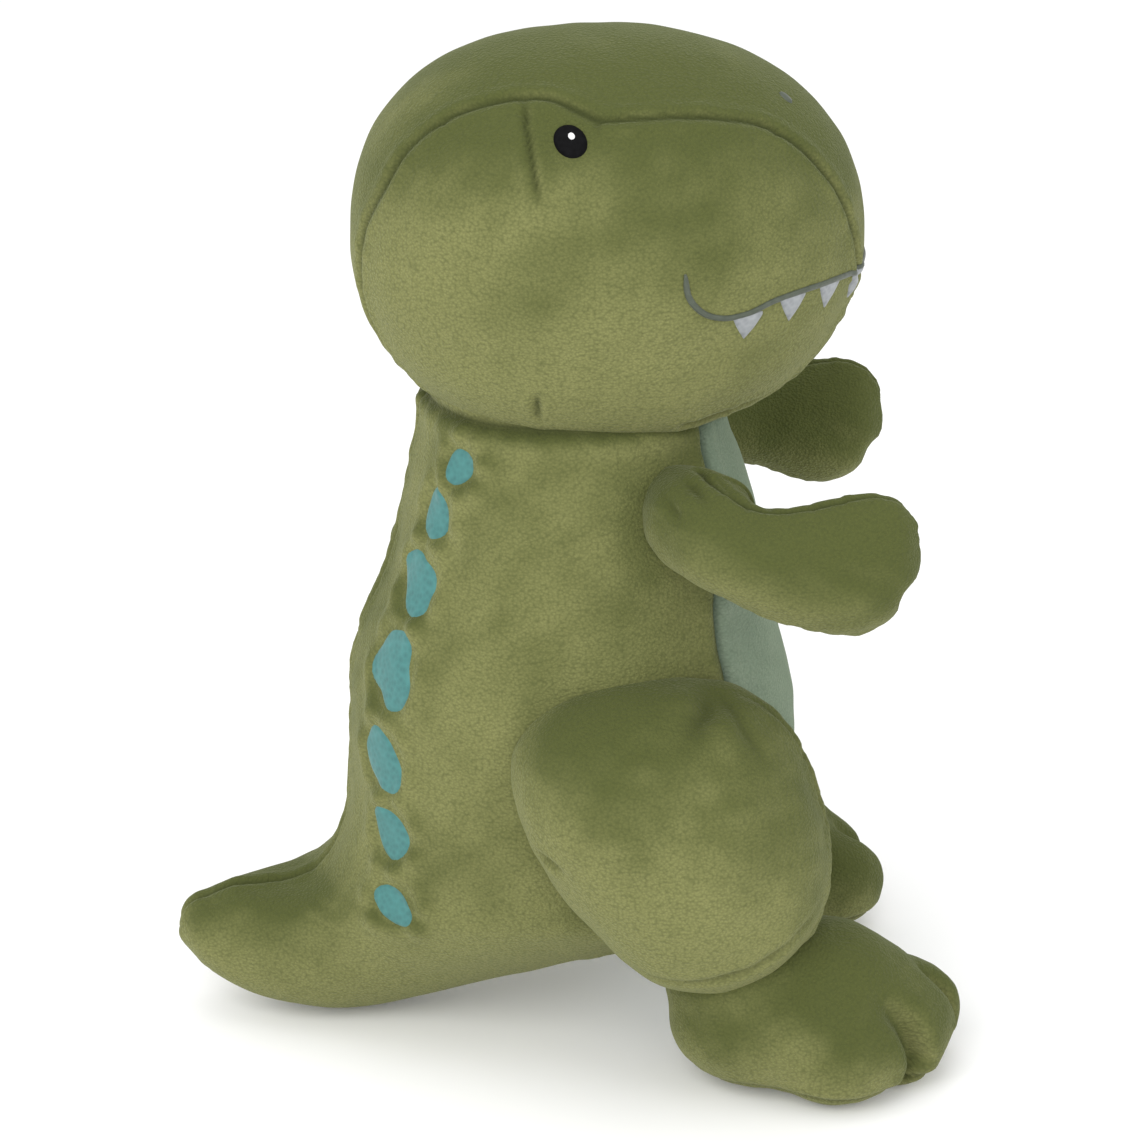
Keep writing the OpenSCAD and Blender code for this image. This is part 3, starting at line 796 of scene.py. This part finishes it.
def wobbly(half_width, half_height, lumps, lean=0.0):
    """An uneven oval: lumps are (how many, size, where) waves round it."""
    def outline(angle):
        r = 1.0
        for count, size, shift in lumps:
            r += size * math.cos(count * (angle - shift))
        a, b = half_width * r * math.cos(angle), half_height * r * math.sin(angle)
        return a + lean * b, b
    return outline


# ---- Materials ----


class Wire:
    """One socket of a material, so that its maths can be written as an expression."""

    def __init__(self, sheet, socket):
        self.sheet, self.socket = sheet, socket

    def _math(self, operation, *values):
        return self.sheet.add("ShaderNodeMath", {"operation": operation}, dict(enumerate(values)))

    def __add__(self, other):
        return self._math("ADD", self, other)

    def __radd__(self, other):
        return self._math("ADD", other, self)

    def __sub__(self, other):
        return self._math("SUBTRACT", self, other)

    def __rsub__(self, other):
        return self._math("SUBTRACT", other, self)

    def __mul__(self, other):
        return self._math("MULTIPLY", self, other)

    def __rmul__(self, other):
        return self._math("MULTIPLY", other, self)


class Sheet:
    """The node tree of one material."""

    def __init__(self, name):
        self.material = bpy.data.materials.new(name)
        self.material.use_nodes = True
        self.nodes = self.material.node_tree.nodes
        self.links = self.material.node_tree.links
        self.shader = self.nodes["Principled BSDF"]

    def add(self, kind, settings=None, inputs=None, output=0):
        node = self.nodes.new(kind)
        for key, value in (settings or {}).items():
            setattr(node, key, value)
        self.feed(node, inputs or {})
        return Wire(self, node.outputs[output])

    def feed(self, node, inputs):
        for key, value in inputs.items():
            if isinstance(value, Wire):
                self.links.new(value.socket, node.inputs[key])
            else:
                node.inputs[key].default_value = value

    def attribute(self, name, output):
        return self.add("ShaderNodeAttribute", {"attribute_name": name}, {}, output)

    def mix(self, share, first, second):
        return self.add("ShaderNodeMix", {"data_type": "RGBA"}, {0: share, 6: first, 7: second}, 2)

    def finish(self, **inputs):
        self.feed(self.shader, {key.replace("_", " "): value for key, value in inputs.items()})
        return self.material


def shade(colour, light):
    return tuple(c * light for c in colour) + (1.0,)


def plush(name, colour, nap_shade_colour, deep):
    """Short velvety pile on a knit: nap patches with painted shade where the skin faces up or forward, fine
    cells, and painted shade along seams and folds.
    """
    s = Sheet(name)
    home = s.attribute("home", "Vector")
    seam_and_fold_shade = s.attribute("seam", "Fac")
    patches = s.attribute("nap_and_painted_shade", "Fac")
    squeezed = s.add("ShaderNodeVectorMath", {"operation": "MULTIPLY"}, {0: home, 1: (1.0, 1.0, 1.25)})
    cells = s.add("ShaderNodeTexVoronoi", {"feature": "F1"}, {"Vector": squeezed, "Scale": 1250.0})
    fibres = s.add("ShaderNodeTexNoise", {}, {"Vector": home, "Scale": 2600.0, "Detail": 2.0})
    # Painted shade: a darker copy of the colour goes where the skin faces up or forward, by each skin's lean,
    # and in random nap patches.
    base = s.mix(patches, shade(colour, 1), shade(nap_shade_colour, 1))
    grain = s.add("ShaderNodeMapRange", {}, {"Value": cells * 0.6 + fibres * 0.4, "From Min": 0.2,
                                             "From Max": 0.75, "To Min": 0.0, "To Max": 0.55})
    base = s.mix(grain, base, shade(deep, 1.4))
    # Painted shade along seams and in folds.
    base = s.mix(seam_and_fold_shade * 0.75, base, shade(deep, 0.8))
    height = 0.7 * cells + 0.5 * fibres
    bump = s.add("ShaderNodeBump", {}, {"Height": height, "Strength": 0.6, "Distance": 0.0007})
    rough = s.add("ShaderNodeMapRange", {}, {"Value": patches, "To Min": 0.82, "To Max": 0.92})
    return s.finish(Base_Color=base, Roughness=rough, Normal=bump, Sheen_Weight=0.18, Sheen_Roughness=0.4,
                    Sheen_Tint=shade((0.7, 0.75, 0.5), 1), Specular_IOR_Level=0.1)


def satin(name, colour, deep, gap, angle, gloss=0.38, level=0.5, sheen=0.15):
    """Satin stitch: close parallel threads that catch the light."""
    s = Sheet(name)
    home = s.attribute("home", "Vector")
    turned = s.add("ShaderNodeVectorRotate", {"rotation_type": "Z_AXIS"},
                   {"Vector": home, "Angle": math.radians(angle)})
    uneven = s.add("ShaderNodeTexNoise", {}, {"Vector": home, "Scale": 420.0, "Detail": 2.0})
    threads = s.add("ShaderNodeTexWave", {"wave_type": "BANDS", "bands_direction": "X"},
                    {"Vector": turned, "Scale": 0.314 / gap, "Distortion": 1.2, "Detail": 1.0,
                     "Detail Scale": 1.5})
    ends = s.add("ShaderNodeTexVoronoi", {"feature": "F1"}, {"Vector": home, "Scale": 700.0})
    tone = s.mix(threads * 0.5 + uneven * 0.3 + ends * 0.45, shade(deep, 1), shade(colour, 1))
    bump = s.add("ShaderNodeBump", {}, {"Height": threads + 0.5 * ends, "Strength": 0.5, "Distance": 0.0003})
    rough = s.add("ShaderNodeMapRange", {}, {"Value": threads, "To Min": gloss + 0.15, "To Max": gloss})
    return s.finish(Base_Color=tone, Roughness=rough, Normal=bump, Specular_IOR_Level=level,
                    Sheen_Weight=sheen, Sheen_Roughness=0.4)


# Each plush: the fabric's colour, a darker copy of it painted as shade where the skin faces up or forward and
# in nap patches, then a deep colour for the grain and for painted shade along seams and folds.
green_plush = plush("green_plush", (0.236, 0.24, 0.092), (0.084, 0.096, 0.028), (0.04, 0.048, 0.016))
belly_plush = plush("belly_plush", (0.25, 0.31, 0.225), (0.16, 0.21, 0.15), (0.08, 0.11, 0.075))
teal_satin = satin("teal_satin", (0.068, 0.265, 0.25), (0.024, 0.115, 0.11), 0.62, 62)
dark_satin = satin("dark_satin", (0.085, 0.1, 0.07), (0.03, 0.04, 0.025), 0.5, 20)
silver_satin = satin("silver_satin", (0.42, 0.44, 0.45), (0.15, 0.16, 0.17), 0.66, 90)
black_satin = satin("black_satin", (0.008, 0.008, 0.009), (0.002, 0.002, 0.002), 0.5, 10, 0.5, 0.05, 0.0)
white_satin = satin("white_satin", (0.85, 0.85, 0.85), (0.6, 0.6, 0.6), 0.5, 0)
ribbon_weave = satin("ribbon_weave", (0.8, 0.8, 0.78), (0.62, 0.62, 0.6), 0.4, 90, 0.45)


def dress(obj, material):
    obj.data.materials.clear()
    obj.data.materials.append(material)
    return obj


# ---- Spots, on the body ----

# Each spot: height, angle from the back, half width, half height, lean, waves round its edge.
SPOTS = [
    (155, 43, 4.2, 4.7, 0.0, ((2, 0.05, 0.6), (3, 0.04, 0))),
    (142, 33.5, 4.8, 6.4, -0.05, ((2, 0.06, 1.2), (3, 0.07, 1.7))),
    (124.5, 30.5, 6.6, 8.2, -0.25, ((3, 0.1, 0.4), (5, 0.05, 0.3))),
    (103.5, 32, 7.8, 10.6, 0.0, ((2, 0.06, 2.6), (3, 0.12, 1.2), (5, 0.05, 0.9))),
    (80, 31.5, 6.9, 8.4, -0.3, ((1, 0.08, 4.4), (3, 0.06, 1.4))),
    (60.5, 35.5, 6.0, 6.8, -0.35, ((2, 0.05, 0.4), (3, 0.06, 2.2))),
    (43, 45, 5.6, 5.0, -0.45, ((1, 0.12, 4.0), (3, 0.05, 1.1))),
]


def body_spot_place(height, angle, side):
    """A point on the body at this height and angle from the back, from rows before the cloth was filled."""
    turns = np.full(1, math.pi - math.radians(angle)) * side
    best = None
    for row in smooth_rows(BODY_RINGS, 400):
        p = body_ring(row, turns)[0]
        if best is None or abs(p[2] - height) < abs(best[2] - height):
            best = p
    return best


body_tree = tree_of(body_skin)
spot_centres = []
for side in SIDES:
    for height, angle, *_ in SPOTS:
        guess = Vector(body_spot_place(height, angle, side))
        hit, normal, _, _ = body_tree.find_nearest(guess)
        spot_centres.append((side, np.array(hit), np.array(normal)))

points, outward = places(body_skin), normals(body_skin)
lift = np.zeros(len(points))
for n, (side, centre, normal) in enumerate(spot_centres):
    _, _, wide, tall, _, _ = SPOTS[n % len(SPOTS)]
    away = points - centre
    up = np.array([0, 0, 1.0]) - normal * normal[2]
    up /= np.linalg.norm(up)
    right = np.cross(up, normal)
    a, b = away @ right / wide, away @ up / tall
    out = np.sqrt(a * a + b * b)
    mean = (wide + tall) / 2
    ahead = (away @ normal) > -12
    edge = (out - 1) * mean
    turn = np.arctan2(b, a)
    folds = np.sin(turn * 5 + n) * 0.6 + np.sin(turn * 8 + 2.3 * n) * 0.4
    ring = bell(edge - 3.2, 2.6)
    well = np.exp(-np.maximum(edge, 0) ** 2 / 1.6)
    lift += ahead * (ring * (0.75 + 0.65 * folds) - 0.6 * well)
points += outward * lift[:, None]
put(body_skin, points)
body_tree = tree_of(body_skin)

for n, (side, centre, normal) in enumerate(spot_centres):
    _, _, wide, tall, lean, waves = SPOTS[n % len(SPOTS)]
    label = SIDES[side]
    outline = wobbly(wide, tall, waves, lean * side * -1)
    patch = lift_patch(f"spot_patch_{label}_{n % len(SPOTS) + 1}", body_tree, centre, normal, (0, 0, 1),
                       outline, 0.75)
    dress(patch, teal_satin)
    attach(patch, "body")
    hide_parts(f"spot_{label}_{n % len(SPOTS) + 1}")

# How dark the painted shade and nap of each skin lie: its lean, then the seed of its patches.
NAP_AND_SHADE_LEANS = [
    (body_skin, 0.08, 81), (head_skin, 0.12, 84), (arms[-1], 0.7, 87), (arms[1], 0.7, 90),
    (thighs[-1], 0.05, 93), (thighs[1], 0.05, 96), (feet[-1], 0.3, 99), (feet[1], 0.3, 102),
]
for obj, lean, seed in NAP_AND_SHADE_LEANS:
    nap_and_painted_shade(obj, lean, seed)

# ---- The belly panel is cut out of the body's skin along its seams ----

centres = np.zeros(len(body_skin.data.polygons) * 3, np.float32)
body_skin.data.polygons.foreach_get("center", centres)
fine = 4
coarse_faces = (BODY_STEPS - 1) * AROUND
face_of = np.arange(len(body_skin.data.polygons)) // (fine * fine)
face_row, face_column = face_of // AROUND, face_of % AROUND
in_panel = (face_column < PANEL_COLUMNS) | (face_column >= AROUND - PANEL_COLUMNS)
in_panel &= (face_row < PANEL_STEP) & (face_of < coarse_faces)
body_skin, belly_skin = parted(body_skin, "belly_skin", in_panel)
dress(body_skin, green_plush)
dress(belly_skin, belly_plush)
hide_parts("body_side_right", "body_side_left", "seat_panel", "body_stuffing", "pellet_pouch",
            "tail_side_right", "tail_side_left", "tail_stuffing")
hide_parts("belly_panel")
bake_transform(body_skin)
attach(belly_skin, "body")

# ---- Head marks ----

dress(head_skin, green_plush)
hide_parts("head_top_gusset", "head_side_right", "head_side_left", "chin_gusset", "head_stuffing")
points, outward = places(head_skin), normals(head_skin)
eye_places = {}
for side in SIDES:
    eye = head_at(-12, 39.5 * side, 30.9)
    eye_places[side] = eye
    gap = np.linalg.norm(points - eye, axis=1)
    points -= outward * (1.5 * bell(gap, 7.5) - 0.35 * bell(gap - 11, 4))[:, None]
put(head_skin, points)
head_tree = tree_of(head_skin)


def rides_head(obj, material, slot, *nodes):
    dress(obj, material)
    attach(obj, "head")
    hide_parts(*nodes)


for side in SIDES:
    label = SIDES[side]
    hit, normal, _, _ = head_tree.find_nearest(Vector(eye_places[side]))
    lean = math.radians(27)
    up = (0, math.sin(lean), math.cos(lean))
    eye = lift_patch(f"eye_patch_{label}", head_tree, hit, normal, up, wobbly(3.7, 4.9, ((2, 0.03, 0),)), 1.0)
    rides_head(eye, black_satin, "black_thread", f"eye_{label}")
    glint_tree = tree_of(eye)
    spot = Vector(hit) + Vector(up) * 1.5 + Vector((0, -0.9, 0))
    glint = lift_patch(f"eye_glint_patch_{label}", glint_tree, spot, normal, up,
                       wobbly(0.85, 1.05, ()), 0.35, 5, 20)
    rides_head(glint, white_satin, "white_thread", f"eye_glint_{label}")
    nose = head_tree.find_nearest(Vector(head_at(40.2, 15.5 * side, 35)))
    knot = lift_patch(f"nostril_patch_{label}", head_tree, nose[0], nose[1], (side * 0.5, -1, 0),
                      wobbly(1.1, 2.1, ((1, 0.35, 1.0),)), 0.6, 5, 20)
    rides_head(knot, dark_satin, "dark_thread", f"nostril_{label}")

# Half of the mouth line: forward, side, height, from the middle of the muzzle to the corner.
MOUTH = [
    (62, 0, -5.8), (61, 9, -6.4), (57.8, 18.4, -6.7), (51.5, 28.6, -6.1), (43, 36.9, -6.4), (35, 42.2, -7.5),
    (28.5, 45.1, -9.5), (23.1, 47.2, -9.9), (17.7, 49.1, -7.8), (14.4, 50.2, -3.8), (13.5, 50.7, 1.7),
]
right_half = head_line(mirrored(MOUTH, -1), 90)
left_half = head_line(mirrored(MOUTH, 1), 90)
mouth_path = np.vstack([right_half[::-1], left_half[1:]])


def laid_cord(name, tree, path, half_width, height, around=10):
    """A band of stitches that lies on the skin along a path and narrows at its ends."""
    laid, lean = [], []
    for p in path:
        hit, normal, _, _ = tree.find_nearest(Vector(p))
        laid.append(np.array(hit))
        lean.append(np.array(normal))
    laid, lean = np.array(laid), np.array(lean)
    ahead = np.gradient(laid, axis=0)
    ahead /= np.linalg.norm(ahead, axis=1)[:, None]
    across = np.cross(ahead, lean)
    run = run_of(laid)
    rows, home = [], []
    for i in range(len(laid)):
        end = min(run[i], run[-1] - run[i])
        size = 0.45 + 0.55 * min(1, end / 2.5)
        for k in range(around):
            angle = 2 * math.pi * k / around
            side, rise = math.cos(angle) * half_width * size, math.sin(angle) * height * size
            rows.append(laid[i] + across[i] * side + lean[i] * (rise + 0.12))
            home.append((run[i], side, rise))
    points, faces = capped(np.array(rows), ring_faces(len(laid), around), len(laid), around)
    home = np.vstack([home, home[0], home[-1]])
    obj = make(name, points, faces)
    give(obj, "home", home * MM)
    return obj


mouth = laid_cord("mouth_stitch", head_tree, mouth_path, 0.75, 0.5)
rides_head(mouth, dark_satin, "dark_thread", "mouth_line")

TEETH = (17.5, 30.3, 39.4, 45.2)


def tooth_outline(angle):
    """A triangle with rounded corners that points down."""
    a, b = math.cos(angle), math.sin(angle)
    third = math.pi / 3
    corner = 0.62 / max(abs(math.cos((angle - math.pi / 2 + third) % (2 * third) - third)), 0.5)
    corner = corner * 0.9 + 0.1
    return a * 4.5 * corner, b * 4.0 * corner


for side in SIDES:
    label = SIDES[side]
    for n, x in enumerate(TEETH):
        half = left_half if side > 0 else right_half
        nearest = half[int(np.argmin(np.abs(np.abs(half[:, 0]) - x)))]
        spot = Vector(nearest) + Vector((0, 0, -2.5))
        hit, normal, _, _ = head_tree.find_nearest(spot)
        tooth = lift_patch(f"tooth_patch_{label}_{n + 1}", head_tree, hit, normal, (0, 0, 1),
                           tooth_outline, 0.55)
        dress(tooth, silver_satin)
        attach(tooth, "head")
        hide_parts(f"teeth_{label}")

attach(head_skin, "head")

# ---- Limbs ----

for side in SIDES:
    label = SIDES[side]
    for obj, parts in ((arms[side], ("arm_outer", "arm_inner", "arm_stuffing")),
                       (thighs[side], ("thigh_outer", "thigh_inner", "thigh_stuffing")),
                       (feet[side], ("foot_upper", "foot_sole", "foot_stuffing"))):
        dress(obj, green_plush)
        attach(obj, f"{'arm' if obj is arms[side] else 'leg'}_{label}")
        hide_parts(*[f"{part}_{label}" for part in parts])

# ---- The blank ribbon loop ----

RIBBON_WIDTH, RIBBON_REACH, RIBBON_BEND, RIBBON_SEWN_IN = 17, 7.5, 1.1, 1.2
low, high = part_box("label_tag")
tag_middle = (Vector(low) + Vector(high)) / 2 / MM
tag_foot, tag_out, _, _ = body_tree.find_nearest(tag_middle)
tag_along = (Vector((0, 0, 1)) - tag_out * tag_out.z).normalized()
tag_across = tag_along.cross(tag_out)
fold = [(t - RIBBON_SEWN_IN, -RIBBON_BEND) for t in np.linspace(0, RIBBON_REACH, 6)]
fold += [(RIBBON_REACH - RIBBON_SEWN_IN + RIBBON_BEND * math.cos(a), RIBBON_BEND * math.sin(a))
         for a in np.linspace(-math.pi / 2, math.pi / 2, 9)[1:-1]]
fold += [(t - RIBBON_SEWN_IN, RIBBON_BEND) for t in np.linspace(RIBBON_REACH, 0, 6)]
tag_points = [
    tuple(tag_foot + tag_out * out + tag_across * across + tag_along * (RIBBON_WIDTH * (j / 6 - 0.5)))
    for out, across in fold for j in range(7)]
ribbon = make("ribbon_label", np.array(tag_points), ring_faces(len(fold), 7, closed=False))
dress(ribbon, ribbon_weave)
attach(ribbon, "body")
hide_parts("label_tag")

# ---- Floor, light and camera ----


def floor_sheet(size=2.2, around=25):
    """A wide, flat, pale floor."""
    spread = np.linspace(-size, size, around)
    points = np.array([(x, y, 0.0) for y in spread[::-1] for x in spread]) / MM
    return make("floor", points, ring_faces(around, around, closed=False))


floor = floor_sheet()
paper = Sheet("floor_paper")
grain = paper.add("ShaderNodeTexNoise", {}, {"Vector": paper.attribute("home", "Vector"), "Scale": 30.0})
floor_tone = paper.mix(grain, (0.86, 0.86, 0.86, 1), (0.9, 0.9, 0.9, 1))
floor.data.materials.append(paper.finish(
    Base_Color=floor_tone, Roughness=0.9, Emission_Color=(1, 1, 1, 1), Emission_Strength=0.08))


def lamp(name, place, aim, power, size):
    data = bpy.data.lights.new(name, "AREA")
    data.energy, data.size = power, size
    obj = bpy.data.objects.new(name, data)
    bpy.context.scene.collection.objects.link(obj)
    obj.location = place
    obj.rotation_euler = (Vector(aim) - Vector(place)).to_track_quat("-Z", "Y").to_euler()


lamp("front_lamp", (-1.0, 0.45, 0.9), (0, 0, 0.12), 9, 0.8)
lamp("side_lamp", (-0.7, -1.1, 0.7), (0, 0, 0.12), 3, 0.9)
lamp("top_lamp", (0.1, 0.1, 1.5), (0, 0, 0.1), 3, 1.2)
world = bpy.data.worlds.new("studio")
world.use_nodes = True
world.node_tree.nodes["Background"].inputs[0].default_value = (1, 1, 1, 1)
world.node_tree.nodes["Background"].inputs[1].default_value = 1.0
bpy.context.scene.world = world
bpy.context.scene.view_settings.view_transform = "Standard"

camera = bpy.data.objects.new("camera", bpy.data.cameras.new("camera"))
bpy.context.scene.collection.objects.link(camera)
bpy.context.scene.camera = camera
azimuth, elevation, distance = math.radians(-94), math.radians(20), 0.9
aim = Vector((0, -0.0032, 0.1174))
level = math.cos(elevation)
back = Vector((math.sin(azimuth) * level, -math.cos(azimuth) * level, math.sin(elevation)))
camera.location = aim + back * distance
camera.rotation_euler = (-back).to_track_quat("-Z", "Y").to_euler()
camera.data.sensor_width = 36
camera.data.lens = 36 * 3600 / 1144
camera.data.clip_start, camera.data.clip_end = 0.05, 20
